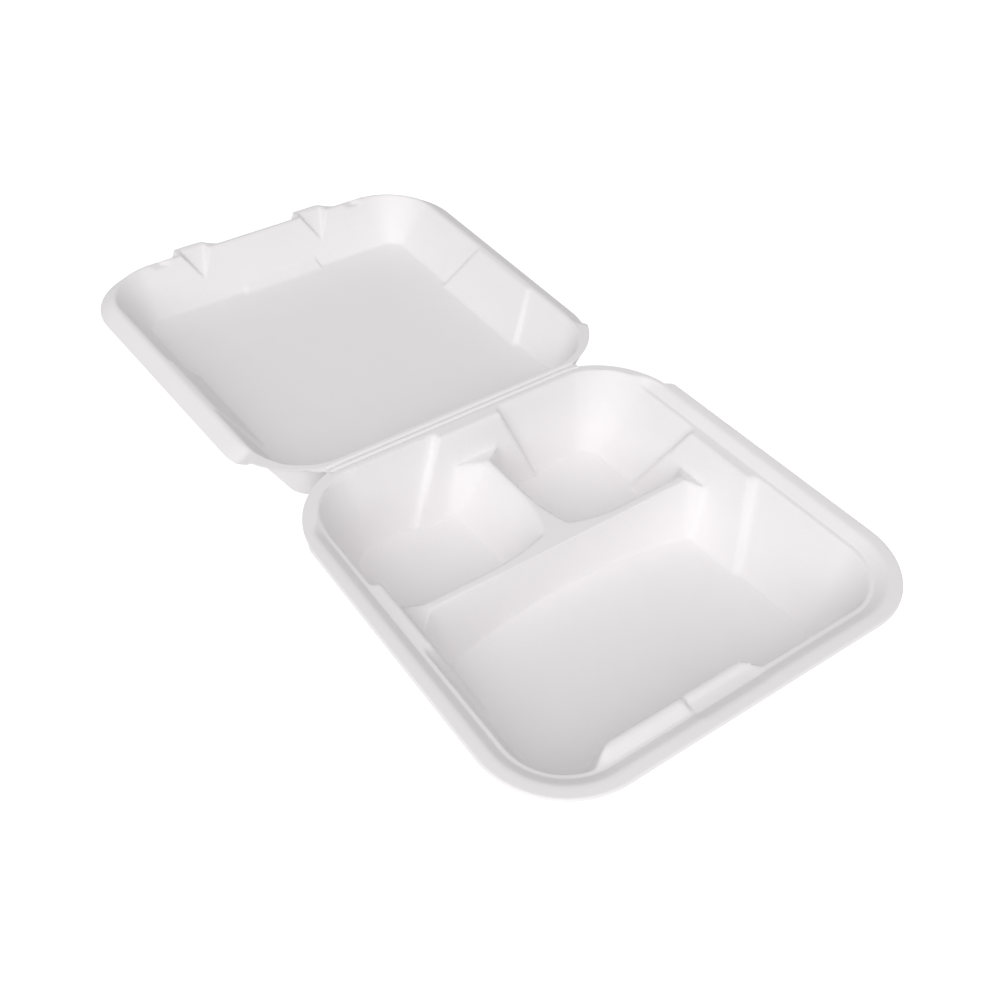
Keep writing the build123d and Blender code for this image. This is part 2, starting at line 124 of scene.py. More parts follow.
def wall_share(x, y, foot, top):
    """How far the point is from one outline to another, 0 at the foot and 1 at the top.

    On the sides it is a ratio. In a corner it is a quadratic's root: the share at which the
    moving corner's centre is one moving radius away from the point.
    """
    growth = top - foot
    at_far = y > (foot[1] + foot[2]) / 2
    place = np.where(at_far, y, -y)
    start = np.where(at_far, foot[2], -foot[1])
    travel = np.where(at_far, growth[2], -growth[1])
    radius = np.where(at_far, foot[4], foot[3])
    radius_travel = np.where(at_far, growth[4], growth[3])
    side_share = (np.abs(x) - foot[0]) / growth[0]
    end_share = (place - start) / travel
    off_x = np.abs(x) - foot[0] + radius
    off_y = place - start + radius
    move_x = growth[0] - radius_travel
    move_y = travel - radius_travel
    square = move_x**2 + move_y**2 - radius_travel**2
    linear = move_x * off_x + move_y * off_y + radius * radius_travel
    constant = off_x**2 + off_y**2 - radius**2
    root = np.sqrt(np.maximum(linear**2 - square * constant, 0.0))
    sign_of = np.where(square > 0, linear, radius_travel)
    share = constant / (linear + np.where(sign_of < 0, -1.0, 1.0) * root)
    in_corner = (off_x > share * move_x) & (off_y > share * move_y) & (share > -1.0)
    pick = np.maximum if growth[0] > 0 else np.minimum
    return np.where(in_corner, share, pick(side_share, end_share))


# %% [markdown]
# ## Sizes of the tray
# All are in millimetres. The fold runs along X, the tray lies on its -Y side and the lid on its +Y
# side, and the tray stands on z = 0. The outer size, the floor and the sheet are the CAD's. The
# rim was matched to the photograph once more: its step is wider and its ledge lower than the CAD's.

# %% Tray sizes
box_width = 230.0
box_length = 222.0
half_width = box_width / 2
fold_y = box_length / 2
front_y = -box_length / 2
rim_z = 49.0
tray_sheet = 2.6
front_corner = 43.5
hinge_corner = 46.0
hinge_taper = 4.5
taper_length = box_length - front_corner
fold_clearance = 0.1

# the floor, and the mouth where the walls reach the ledge
side_inset, front_inset, back_inset, floor_corner = 34.3, 32.0, 17.5, 9.0
mouth_inset, mouth_back_inset, mouth_corners = 14.4, 7.4, (29.5, 30.0)
ledge_z = 45.0
under_z = -2.0  # the walls are drawn down to here, so that floor and wall can be joined softly

# the rim: rolled lip, flat brim, and the step from the brim down to the ledge
lip_radius = 1.2
brim_width, step_width = 7.0, 5.0
step_foot_back, step_foot_corners = 6.4, (32.3, 33.0)
step_top_back, step_top_corners = 3.2, (36.5, 36.0)

tray_outline = rounded(half_width, front_y, fold_y - fold_clearance, front_corner, hinge_corner)
floor_line = rounded(
    half_width - side_inset, front_y + front_inset, fold_y - back_inset, floor_corner, floor_corner
)
mouth_line = rounded(
    half_width - mouth_inset, front_y + mouth_inset, fold_y - mouth_back_inset, *mouth_corners
)
foot_drop = (tray_sheet - under_z) / (ledge_z - tray_sheet)
foot_line = floor_line - foot_drop * (mouth_line - floor_line)
foot_line[3:] = floor_corner
rim_inset = brim_width + step_width
step_foot = rounded(
    half_width - rim_inset, front_y + rim_inset, fold_y - step_foot_back, *step_foot_corners
)
step_top = rounded(
    half_width - brim_width, front_y + brim_width, fold_y - step_top_back, *step_top_corners
)
print("tray floor", 2 * floor_line[0], "by", floor_line[2] - floor_line[1], "mm")


# %% [markdown]
# ## Walls, stacking panels and latch shelf
# The side and back walls carry flat panels, which stop stacked boxes from jamming. Each panel is a
# plane in front of the wall, cut off by two slanting ends. The latch shelf is the front wall
# pushed inwards over part of its length. Its top has a block on the left that rises inwards, and
# a trough on the right with a thin lip along its inner edge. Each is an eased step along X.

# %% Walls and panels
side_panel_y = 15.0
tray_panel = (3.0, 4.5, 41.5, 21.5)
shelf_ends = ((-79.0, -64.0), (9.0, 18.0))
shelf_foot_reach, shelf_growth = 2.0, 5.6


def tray_wall(x, y):
    """Height of the plain wall: the outline's share of the way from the foot to the ledge."""
    return under_z + (ledge_z - under_z) * wall_share(x, y, foot_line, mouth_line)


def panel(across, along, foot, top, sizes, low, high):
    """A panel's height: its leaning face's plane or its slanting ends' planes, whichever is lower.

    The sizes are how far it stands out at the foot and at the top, then half its length there.
    """
    foot_step, top_step, foot_half, top_half = sizes
    face = low + (high - low) * (across - foot + foot_step) / (top - top_step - foot + foot_step)
    ends = low + (high - low) * (foot_half - np.abs(along)) / (foot_half - top_half)
    return soft_min(face, ends, 3.0)


def tray_panels(x, y):
    """The two side panels and the back panel, the highest of the three at each point."""
    from_middle = y - side_panel_y
    side = panel(np.abs(x), from_middle, foot_line[0], mouth_line[0], tray_panel, under_z, ledge_z)
    back = panel(y, x, foot_line[2], mouth_line[2], tray_panel, under_z, ledge_z)
    return np.maximum(side, back)


def latch_shelf(x, y):
    """The front wall pushed inwards by a reach that grows with height, faded out at both ends."""
    width = between(x, *shelf_ends)
    share_rate = 1.0 / (ledge_z - under_z)
    lean = (mouth_line[1] - foot_line[1]) * share_rate
    foot = foot_line[1] + shelf_foot_reach * width
    rate = lean + shelf_growth * share_rate * width
    return under_z + (y - foot) / rate


print("side panels", 2 * tray_panel[2], "mm long at the foot,", 2 * tray_panel[3], "mm at the top")

# %% Top of the latch shelf
block_ends = ((-80.0, -66.0), (-26.5, -25.0))
block_rise, block_run, block_start = 2.6, 5.0, 0.2
trough_ends = ((-26.0, -24.5), (8.0, 14.0))
trough_drop, trough_lip_rise, trough_lip = 0.5, 1.6, (3.6, 4.6)


def shelf_top(x, y):
    """What the shelf's top adds to the ledge: the block's even rise inwards on the left.

    On the right it takes the trough's drop away, and adds the lip past the trough's inner edge.
    """
    inwards = y - mouth_line[1]
    slope = np.clip(inwards / block_run + block_start, 0.0, 1.0)
    lip = trough_lip_rise * ease(inwards, *trough_lip) - trough_drop
    return block_rise * between(x, *block_ends) * slope + between(x, *trough_ends) * lip


print("the trough's lip stands", trough_lip_rise, "mm above its bottom")

# %% [markdown]
# ## Dividers
# One ridge crosses the tray, and a post runs from its middle to the back wall. The front foot of
# the ridge is bowed. Where a divider meets a wall there is a flared web. A rounding could fill that
# corner, but the photograph shows flat faces, so each web is two planes from the floor's corner up
# to the crest. Ridge and post meet in a join that grows with height.

# %% Divider sizes
crest_z = 33.5
crest_front, crest_back = 19.0, 23.4
ridge_run_back = 15.0
bow_middle, bow_fall = 17.0, 19.0
post_middle, post_crest_half, post_foot_half = 2.5, 1.5, 18.0
join_at_floor, join_growth = 4.0, 80.0
far_below = -60.0

# the crest slopes down to the walls: where it starts, and how much it falls per millimetre
side_droop_start, side_droop = 79.0, 0.55
back_droop_start, back_droop = 87.0, 0.35

# each web's height on the wall, then its corners: floor, wall and ridge, and the same way back
back_web_z, side_web_z = 30.0, 26.0
back_web_corners = (
    (-17.5, 88.1), (-14.5, 96.6), (1.0, 86.5), (4.0, 86.5), (17.4, 96.6), (17.5, 88.1)
)
side_web_corners = (
    (36.4, 76.9), (33.0, 88.0), (22.5, 79.0), (19.5, 79.0), (10.8, 89.0), (6.5, 76.9)
)


# %% Dividers
def web(along, across, wall_end_z, corners):
    """Flared web where a divider meets a wall: the lower of its two planes, one for each side."""
    heights = (tray_sheet, wall_end_z, crest_z)
    first = [(*corner, height) for corner, height in zip(corners[:3], heights)]
    second = [(*corner, height) for corner, height in zip(corners[:2:-1], heights)]
    planes = [plane_through(along, across, *side) for side in (first, second)]
    return soft_min(*planes, 4.0)


def dividers(x, y, walls):
    """Ridge, post and webs joined softly, with the walls, and capped at the crest's height."""
    bow = bow_middle - bow_fall * (x / 100.0) ** 2
    rise = crest_z - under_z
    front = under_z + rise * (y - bow) / (crest_front - bow)
    back = under_z + rise * (crest_back + ridge_run_back - y) / ridge_run_back
    ridge = soft_min(front, back, 4.0)
    post_left = (post_foot_half + x) / (post_foot_half + post_middle - post_crest_half)
    post_right = (post_foot_half - x) / (post_foot_half - post_middle - post_crest_half)
    post = under_z + rise * np.minimum(post_left, post_right)
    post = np.where(y > crest_front, post, far_below)
    level = np.clip((np.maximum(ridge, post) - under_z) / rise, 0.0, 1.0)
    webs = soft_max(ridge, post, join_at_floor + join_growth * level)
    webs = soft_max(webs, web(x, y, back_web_z, back_web_corners), 2.0)
    webs = soft_max(webs, web(y, np.abs(x), side_web_z, side_web_corners), 2.0)
    webs = soft_max(webs, walls, 6.0)
    crest = crest_z - side_droop * np.maximum(np.abs(x) - side_droop_start, 0.0)
    crest = crest - back_droop * np.maximum(y - back_droop_start, 0.0)
    return soft_min(webs, crest, 1.6)


print("crest", crest_z - tray_sheet, "mm above the tray's floor")

# %% [markdown]
# ## The tray's skin
# From the outside in, the rim is a rolled lip, a flat brim, a step, a ledge and then the wall.
# Brim, ledge and cavity are three heights, and the skin is the lowest of them. Near the fold the
# ledge runs up into the brim, and the roll stops. Two pressed creases, one on each side of the
# fold, make the sheet thin enough to bend.

# %% Tray height
crease_places = (108.7, 111.8)
crease_middle, crease_fall = 0.9, 0.82
crease_half_length = 80.0
roll_end = (69.0, 75.0)
ledge_lift, ledge_lift_run = 5.0, (76.0, 90.0)


def crease_depth(y):
    """Depth of the two creases beside the fold: full at their middle, falling off evenly."""
    near, far = crease_places
    away = np.minimum(np.abs(y - near), np.abs(y - far))
    return np.maximum(crease_middle - away * crease_fall, 0.0)


def tray_height(x, y):
    """Lowest of the brim, the stepped ledge and the cavity, each with its own soft edge."""
    inset = inset_of(x, y, tray_outline)
    roll = np.clip(lip_radius - inset, 0.0, lip_radius)
    rolled = 1.0 - ease(y, *roll_end)
    brim = rim_z - rolled * (lip_radius - np.sqrt(lip_radius**2 - roll**2))
    walls = soft_max(tray_wall(x, y), tray_panels(x, y), 9.0)
    walls = soft_max(walls, latch_shelf(x, y), 3.0)
    cavity = soft_max(walls, tray_sheet + 0.0 * x, 2.0)
    cavity = soft_max(cavity, dividers(x, y, walls), 3.0)
    step = np.maximum(wall_share(x, y, step_foot, step_top), 0.0)
    ledge = ledge_z + (rim_z - ledge_z) * step + ledge_lift * ease(y, *ledge_lift_run)
    ledge = ledge + shelf_top(x, y)
    skin = soft_min(soft_min(ledge, cavity, 1.6), brim, 1.2)
    return skin - crease_depth(y) * (np.abs(x) < crease_half_length)


middles = tray_height(np.array([0.0, 0.0]), np.array([-40.0, 21.0]))
print("tray height on the floor and on the ridge", middles.round(2), "mm")

# %% [markdown]
# ## Laying a grid over a rounded shape
# A height needs points to be taken at. An even square grid would cut the rim into stairs. Rings of
# points would follow the rim, but crowd together in the middle. So the grid's lines are straight
# inside and bend into arcs in the four corners, and they lie close together only where the shape
# turns sharply: on the rim, at the panels' ends and along the dividers.

# %% Grid lines
def spaced(*stretches):
    """Line positions: each stretch is a start, an end and the wished spacing, made even."""
    parts = []
    for start, end, step in stretches:
        count = max(int(round(abs(end - start) / step)), 1)
        parts.append(np.linspace(start, end, count + 1)[:-1])
    return np.append(np.concatenate(parts), stretches[-1][1])


def lay_grid(x_lines, y_lines, outline):
    """Grid points bent into the outline's corners: a square ring becomes an arc of that radius.

    Lines past the outline hold the points that turn down round its edge, so their overshoot is
    returned too, with the direction that points outwards.
    """
    half, near, far, near_radius, far_radius = outline
    x, y = np.meshgrid(x_lines, y_lines)
    at_far = y > (near + far) / 2
    radius = np.where(at_far, far_radius, near_radius)
    centre_x = half - radius
    centre_y = np.where(at_far, far - radius, -near - radius)
    side_x = np.where(x < 0, -1.0, 1.0)
    side_y = np.where(at_far, 1.0, -1.0)
    past_x = np.abs(x) - centre_x
    past_y = side_y * y - centre_y
    corner = (past_x > 0) & (past_y > 0)
    ring = np.maximum(past_x, past_y)
    lesser = np.minimum(past_x, past_y)
    turn = np.pi / 4 * np.where(corner, lesser, 0.0) / np.where(corner, ring, 1.0)
    angle = np.where(past_x >= past_y, turn, np.pi / 2 - turn)
    reach = np.minimum(ring, radius)
    flat_x = np.minimum(np.abs(x), half)
    flat_y = np.minimum(side_y * y, centre_y + radius)
    bent_x = np.where(corner, centre_x + reach * np.cos(angle), flat_x)
    bent_y = np.where(corner, centre_y + reach * np.sin(angle), flat_y)
    over = np.maximum(ring - radius, 0.0)
    out_x = side_x * np.where(corner, np.cos(angle), (past_x >= past_y) * 1.0)
    out_y = side_y * np.where(corner, np.sin(angle), (past_x < past_y) * 1.0)
    return side_x * bent_x, side_y * bent_y, over, out_x, out_y


# %% [markdown]
# ## From a height to a closed sheet
# A sheet needs a lower skin too. Moving the upper skin straight down would thin it on the steep
# walls. Solidify keeps the thickness, but its skins cross in tight hollows. Rolling a ball over
# the upper skin and keeping its lowest point holds the thickness, and can't cross.

# %% Lower skin and closed mesh
ball_rings = (0.45, 0.75, 0.92, 1.0)
ball_turns = 12
sharp_angle = 58


def underside(height, x, y, sheet):
    """Lower skin of a sheet: the lowest ball of the sheet's thickness over the upper skin."""
    lowest = height(x, y) - sheet
    for share in ball_rings:
        off = share * sheet
        ball = math.sqrt(max(sheet**2 - off**2, 0.0))
        for turn in np.arange(ball_turns) * 2 * math.pi / ball_turns:
            beside = height(x + off * math.cos(turn), y + off * math.sin(turn))
            lowest = np.minimum(lowest, beside - ball)
    return lowest


def closed_sheet(name, upper, lower, material):
    """Mesh of an upper and a lower grid of points in millimetres, joined round their borders."""
    rows, columns = upper.shape[:2]
    index = np.arange(rows * columns).reshape(rows, columns)
    corners = [index[:-1, :-1], index[:-1, 1:], index[1:, 1:], index[1:, :-1]]
    quads = np.stack(corners, axis=-1).reshape(-1, 4)
    below = quads[:, ::-1] + rows * columns
    loop = np.concatenate([index[0, :-1], index[:-1, -1], index[-1, :0:-1], index[:0:-1, 0]])
    after = np.roll(loop, -1)
    border = np.stack([loop + rows * columns, after + rows * columns, after, loop], axis=-1)
    points = np.concatenate([upper.reshape(-1, 3), lower.reshape(-1, 3)]) * mm
    faces = np.concatenate([quads, below, border])
    mesh = bpy.data.meshes.new(name)
    mesh.from_pydata(points.tolist(), [], faces.tolist())
    mesh.validate()
    mesh.polygons.foreach_set("use_smooth", np.ones(len(mesh.polygons), bool))
    mesh.set_sharp_from_angle(angle=math.radians(sharp_angle))
    mesh.materials.append(material)
    piece = bpy.data.objects.new(name, mesh)
    bpy.context.scene.collection.objects.link(piece)
    print(name, 2 * len(faces), "triangles")
    return piece


def tapered(points):
    """Points with X drawn in towards the fold: the half width shrinks evenly by the taper."""
    share = 1.0 - np.abs(points[..., 1] - fold_y) / taper_length
    share = 1.0 - hinge_taper / half_width * share
    return points * np.stack([share, np.ones_like(share), np.ones_like(share)], axis=-1)


# %% [markdown]
# ## The foam's finish
# Foam sheet is white with a faint warm grey, between matt and satin. Light that goes a little way
# into it comes out again nearby, which a pale colour alone already gives at this size. Its skin
# shows the flattened cells of the foam: a very fine mottle, seen close up. A picture of foam
# would need an image. Two noises do it instead, one for the cells and one for the slow unevenness
# that a hot mould leaves, read from Object coordinates so that they stay on the piece.

# %% Foam material
def foam_skin(name):
    """White foam: matt principled shader, a mottled colour and a fine cell bump."""
    material = bpy.data.materials.new(name)
    material.use_nodes = True
    nodes = material.node_tree.nodes
    links = material.node_tree.links
    shader = nodes["Principled BSDF"]
    shader.inputs["Roughness"].default_value = 0.52
    shader.inputs["IOR"].default_value = 1.45
    shader.inputs["Specular IOR Level"].default_value = 0.35
    place = nodes.new("ShaderNodeTexCoord")
    cells = nodes.new("ShaderNodeTexVoronoi")
    cells.feature = "SMOOTH_F1"
    cells.inputs["Scale"].default_value = 900.0
    cells.inputs["Smoothness"].default_value = 0.6
    waves = nodes.new("ShaderNodeTexNoise")
    waves.inputs["Scale"].default_value = 55.0
    waves.inputs["Detail"].default_value = 3.0
    links.new(place.outputs["Object"], cells.inputs["Vector"])
    links.new(place.outputs["Object"], waves.inputs["Vector"])
    tint = nodes.new("ShaderNodeMix")
    tint.data_type = "RGBA"
    tint.inputs["A"].default_value = (0.948, 0.926, 0.936, 1.0)
    tint.inputs["B"].default_value = (0.972, 0.952, 0.962, 1.0)
    links.new(waves.outputs["Fac"], tint.inputs["Factor"])
    links.new(tint.outputs["Result"], shader.inputs["Base Color"])
    slow = nodes.new("ShaderNodeBump")
    slow.inputs["Strength"].default_value = 0.25
    slow.inputs["Distance"].default_value = 0.0006
    fine = nodes.new("ShaderNodeBump")
    fine.inputs["Strength"].default_value = 0.18
    fine.inputs["Distance"].default_value = 0.0002
    links.new(waves.outputs["Fac"], slow.inputs["Height"])
    links.new(cells.outputs["Distance"], fine.inputs["Height"])
    links.new(slow.outputs["Normal"], fine.inputs["Normal"])
    links.new(fine.outputs["Normal"], shader.inputs["Normal"])
    return material


foam = foam_skin("foam")
print("material", foam.name, "with", len(foam.node_tree.nodes), "nodes")

# %% [markdown]
# ## The tray
# The tray's outline, its height and the ball-rolled underside make one closed sheet. Past the
# outline the grid turns down and tucks in, to make the rolled lip. Beside the hinge the lip stops
# and the sheet is trimmed further in, by much more on the right than on the left, as on the box in
# the photograph.

# %% Tray grid
side_insets = spaced(
    (-2.4, 0.0, 0.6), (0.0, 1.8, 0.36), (1.8, 6.2, 1.4), (6.2, 8.0, 0.45), (8.0, 11.2, 1.1),
    (11.2, 14.8, 0.45),
)
tray_left = np.concatenate([
    -half_width + side_insets[:-1], spaced((-100.2, -76.0, 1.1), (-76.0, -26.0, 1.7))[:-1]
])
tray_x = np.concatenate([tray_left, spaced((-26.0, 26.0, 1.15)), -tray_left[::-1]])
tray_y = np.concatenate([
    front_y + side_insets[:-1],
    spaced(
        (-96.2, -72.0, 1.1), (-72.0, -4.0, 1.7), (-4.0, 10.0, 0.8), (10.0, 20.0, 0.4),
        (20.0, 40.0, 1.05), (40.0, 88.0, 1.7), (88.0, 106.5, 0.95), (106.5, 110.9, 0.4),
        (110.9, 111.2, 0.15),
    ),
])
print("tray grid", len(tray_x), "by", len(tray_y), "lines")

# %% Build the tray
trim_left, trim_right, trim_run = 0.6, 4.0, (68.5, 72.5)
lip_tuck = 0.9
back_strip = (104.0, 108.0)


def trimmed(x, y, out_x, inset):
    """How far the rim is trimmed in beside the hinge: most at the edge, fading over the brim."""
    reach = np.where(x > 0, trim_right, trim_left)
    fade = np.clip(1.0 - inset / brim_width, 0.0, 1.0)
    return reach * np.abs(out_x) * ease(y, *trim_run) * fade


x, y, over, out_x, out_y = lay_grid(tray_x, tray_y, tray_outline)
inset = inset_of(x, y, tray_outline)
turn_down = over * (1.0 - 0.5 * ease(y, *roll_end))
shift = trimmed(x, y, out_x, inset) + lip_tuck * over
z = tray_height(x, y) - turn_down
tray_upper = np.stack([x - shift * out_x, y - shift * out_y, z], axis=-1)

# the lower skin starts one sheet inside the lip and rises behind it to the brim's underside
push = tray_sheet * (1.0 - ease(y, *back_strip)) * np.clip(1.0 - inset / brim_width, 0.0, 1.0)
under_x = x - push * out_x
under_y = y - push * out_y
z = np.maximum(underside(tray_height, under_x, under_y, tray_sheet) - turn_down, 0.0)
tray_lower = np.stack([under_x - shift * out_x, under_y - shift * out_y, z], axis=-1)
tray = closed_sheet("tray_sheet", tapered(tray_upper), tapered(tray_lower), foam)
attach(tray, "tray")
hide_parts("tray")

# %% [markdown]
# ## The lid
# The lid is shallower. Outside the crest of its brim a skirt slopes down, and it stops before the
# hinge corners, where the brim is flat. Two tongues run out of the far edge at the level of the
# crest. Each tongue has a chute pressed into it, which narrows to a point on the wall below: three
# planes through that point, the highest of them being the chute's skin. Between the tongues a low
# ramp leans on the foot of the far wall, and a small dent marks the brim on each outer side.

# %% Lid sizes
lid_sheet = 2.3
lid_depth = 28.8
lid_floor_z = rim_z - lid_depth + lid_sheet
lid_far = fold_y + box_length
lid_tilt = -0.8
pivot_z = rim_z + 0.25
lid_outline = rounded(half_width, fold_y + fold_clearance, lid_far, hinge_corner, front_corner)
lid_floor_line = rounded(86.9, 128.0, 308.5, 10.0, 10.0)
lid_mouth_line = rounded(103.8, 115.6, 324.6, 33.0, 30.0)

# the skirt, from the crest of the brim down to its foot
skirt_foot_z = 43.7
skirt_run = (134.0, 146.0)
skirt_crest = rounded(
    half_width - 9.2, fold_y + 6.0, lid_far - 5.6, hinge_corner - 8.0, front_corner - 7.0
)
brim_fall, brim_fall_start = 0.17, 7.5

# panels, ramp, tongues and dents on the walls and the far edge
lid_panel_y = 210.0
lid_panel = (3.2, 1.2, 38.0, 26.0)
ramp_left, ramp_right, ramp_end_slope = -22.0, 31.0, 2.2
ramp_foot_y, ramp_slope = 305.7, 0.89
tab_places = (-40.0, 40.0)
tab_left, tab_right, tab_splay, tab_start_y = 13.2, 4.5, 1.1, 320.0
dent_places = (-65.0, 65.0)
dent_half, dent_depth, dent_y = 6.5, 2.2, 323.6
out_of_reach = 50.0
print("lid floor", 2 * lid_floor_line[0], "by", lid_floor_line[2] - lid_floor_line[1], "mm")


# %% Lid height
def chute(x, y, middle):
    """The chute in one tongue: floor, left and right planes through a point on the wall."""
    foot = (middle - 2.8, 316.6, 35.6)
    left_in, left_out = (middle - 11.2, 326.0, rim_z), (middle - 10.0, 331.8, rim_z)
    right_in, right_out = (middle + 6.4, 324.3, rim_z), (middle + 5.4, 331.8, rim_z)
    floor = plane_through(x, y, foot, left_out, right_out)
    left = plane_through(x, y, foot, left_in, left_out)
    right = plane_through(x, y, foot, right_in, right_out)
    return soft_max(soft_max(left, floor, 0.8), right, 1.2)


def lid_brim(x, y):
    """The lower of the skirt and the brim, and above both of them the two tongues."""
    inset = inset_of(x, y, lid_outline)
    climb = wall_share(x, y, lid_outline, skirt_crest)
    skirt = skirt_foot_z + (rim_z + 0.3 - skirt_foot_z) * climb
    skirt = skirt + (rim_z + 0.6 - skirt_foot_z) * (1.0 - ease(y, *skirt_run))
    flat = pivot_z - brim_fall * np.maximum(inset - brim_fall_start, 0.0)
    brim = soft_min(skirt, flat, 1.2)
    for middle in tab_places:
        right_end = (middle + tab_right + tab_splay * (335.0 - y) - x) * 0.6
        ends = np.minimum(x - middle + tab_left, right_end)
        tongue = soft_min(rim_z + 2.5 * ends, rim_z + 0.0 * x, 1.5)
        brim = soft_max(brim, np.where(y > tab_start_y, tongue, 0.0), 0.6)
    return brim


def lid_cavity(x, y):
    """The highest of the walls, the side panels, the ramp and the floor."""
    walls = wall_share(x, y, lid_floor_line, lid_mouth_line)
    walls = lid_floor_z + (rim_z - lid_floor_z) * walls
    foot, top = lid_floor_line[0], lid_mouth_line[0]
    sides = panel(np.abs(x), y - lid_panel_y, foot, top, lid_panel, lid_floor_z, rim_z)
    ramp_ends = ramp_end_slope * np.minimum(x - ramp_left, ramp_right - x)
    ramp = lid_floor_z + soft_min(ramp_slope * (y - ramp_foot_y), ramp_ends, 1.0)
    walls = soft_max(soft_max(walls, sides, 2.0), ramp, 0.8)
    return soft_max(walls, lid_floor_z + 0.0 * x, 1.5)


def lid_height(x, y):
    """Lowest of the skirted brim, the cavity, the chutes and the dents, each with a soft edge."""
    skin = soft_min(lid_cavity(x, y), lid_brim(x, y), 1.4)
    for middle in tab_places:
        skin = soft_min(skin, np.where(y > 306.0, chute(x, y, middle), rim_z + 9.0), 0.6)
    for middle in dent_places:
        notch = np.abs(x - middle) / dent_half + (y - dent_y) / 4.0
        dent = rim_z - dent_depth + 3.0 * np.maximum(notch - 0.6, 0.0)
        skin = soft_min(skin, dent + out_of_reach * (y < tab_start_y), 0.6)
    return skin - crease_depth(y) * (np.abs(x) < crease_half_length)


# %% Lid grid
lid_insets = spaced(
    (0.0, 2.0, 0.5), (2.0, 5.0, 1.0), (5.0, 8.0, 0.6), (8.0, 10.4, 0.8), (10.4, 12.4, 0.4),
    (12.4, 13.5, 0.6),
)
lid_x = np.concatenate([
    -half_width + lid_insets[:-1],
    spaced(
        (-101.5, -82.0, 1.1), (-82.0, -70.0, 1.4), (-70.0, -60.0, 0.9), (-60.0, -54.5, 1.2),
        (-54.5, -33.0, 0.62), (-33.0, -26.0, 1.0), (-26.0, -22.0, 0.6), (-22.0, 22.0, 2.0),
        (22.0, 26.0, 0.6), (26.0, 48.0, 0.62), (48.0, 60.0, 1.2), (60.0, 70.0, 0.9),
        (70.0, 82.0, 1.4), (82.0, 101.5, 1.1),
    )[:-1],
    half_width - lid_insets[::-1],
])
lid_y = spaced(
    (111.1, 115.5, 0.4), (115.5, 131.0, 1.1), (131.0, 168.0, 2.0), (168.0, 252.0, 1.3),
    (252.0, 302.0, 2.0), (302.0, 319.5, 0.9), (319.5, 331.8, 0.62), (331.8, 333.0, 0.4),
)
print("lid grid", len(lid_x), "by", len(lid_y), "lines")

# %% Build the lid
tongue_reach = 1.7
lid_push, lid_push_width = 2.0, 9.0


def tilted(points):
    """Points turned about the fold line: the usual cosine and sine in the plane of Y and Z."""
    angle = math.radians(lid_tilt)
    pivot = np.array([0.0, fold_y, pivot_z])
    off = points - pivot
    turned = off.copy()
    turned[..., 1] = off[..., 1] * math.cos(angle) - off[..., 2] * math.sin(angle)
    turned[..., 2] = off[..., 1] * math.sin(angle) + off[..., 2] * math.cos(angle)
    return turned + pivot


x, y, over, out_x, out_y = lay_grid(lid_x, lid_y, lid_outline)
inset = inset_of(x, y, lid_outline)
bulge = np.zeros_like(x)
for middle in tab_places:
    span = between(x, (middle - 13.4, middle - 12.0), (middle + 2.0, middle + 9.0))
    bulge = np.maximum(bulge, tongue_reach * span)
bulge = bulge * np.maximum(out_y, 0.0) * np.clip(1.0 - inset / 2.0, 0.0, 1.0)
lid_upper = np.stack([x, y + bulge, lid_height(x, y)], axis=-1)
push = lid_push * np.clip(1.0 - inset / lid_push_width, 0.0, 1.0) * ease(y, 112.0, 118.0)
under_x = x - push * out_x
under_y = y - push * out_y
z = np.maximum(underside(lid_height, under_x, under_y, lid_sheet), lid_floor_z - lid_sheet)
z = np.where(inset < 3.5, np.maximum(z, skirt_foot_z), z)
lid_lower = np.stack([under_x, under_y + bulge, z], axis=-1)
lid = closed_sheet("lid_sheet", tilted(tapered(lid_upper)), tilted(tapered(lid_lower)), foam)
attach(lid, "lid")
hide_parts("lid")

# %% [markdown]
# ## The fold
# Tray and lid are one sheet, so their edges may not part when the lid swings over. A strip of the
# same foam covers the seam: the two creases with a thin ridge between them. It could ride on one
# body and slide over the other, but that would show. Here it is drawn only as it lies with the box
# open, fixed in place and joined to neither body.

# %% Build the fold
fold_middle_y, fold_half_length = 110.25, 81.0
fold_low_z = 46.7
fold_x = spaced((-fold_half_length, fold_half_length, 2.0))
fold_across = spaced((107.6, 112.9, 0.2))
x, y = np.meshgrid(fold_x, fold_across)
ends = ease(np.abs(x), 76.0, fold_half_length)
tuck = np.clip((np.abs(y - fold_middle_y) - 2.25) / 0.4, 0.0, 1.0)
top = rim_z + 0.06 - crease_depth(y) * (1.0 - ends) - 0.5 * ends - 1.2 * tuck
y = fold_middle_y + (y - fold_middle_y) * (1.0 - 0.55 * ends)
fold_upper = tapered(np.stack([x, y, top], axis=-1))
fold_lower = tapered(np.stack([x, y, 0.0 * x + fold_low_z], axis=-1))
fold = closed_sheet("fold_strip", fold_upper, fold_lower, foam)
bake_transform(fold)

# %% [markdown]
# ## Floor, light and camera
# The photograph shows the box cut out on white, under soft light from the left. The floor is pale
# and keeps the box's shadow, and glows a little for the camera alone, so that it comes out white.
# A small lamp would cast hard shadows, so one very large lamp hangs on the camera's side, to the
# left of the box. The world fills the rest at a lower level. A Light Path node gives it a second
# strength for the camera, so that it shows as plain white behind the floor.

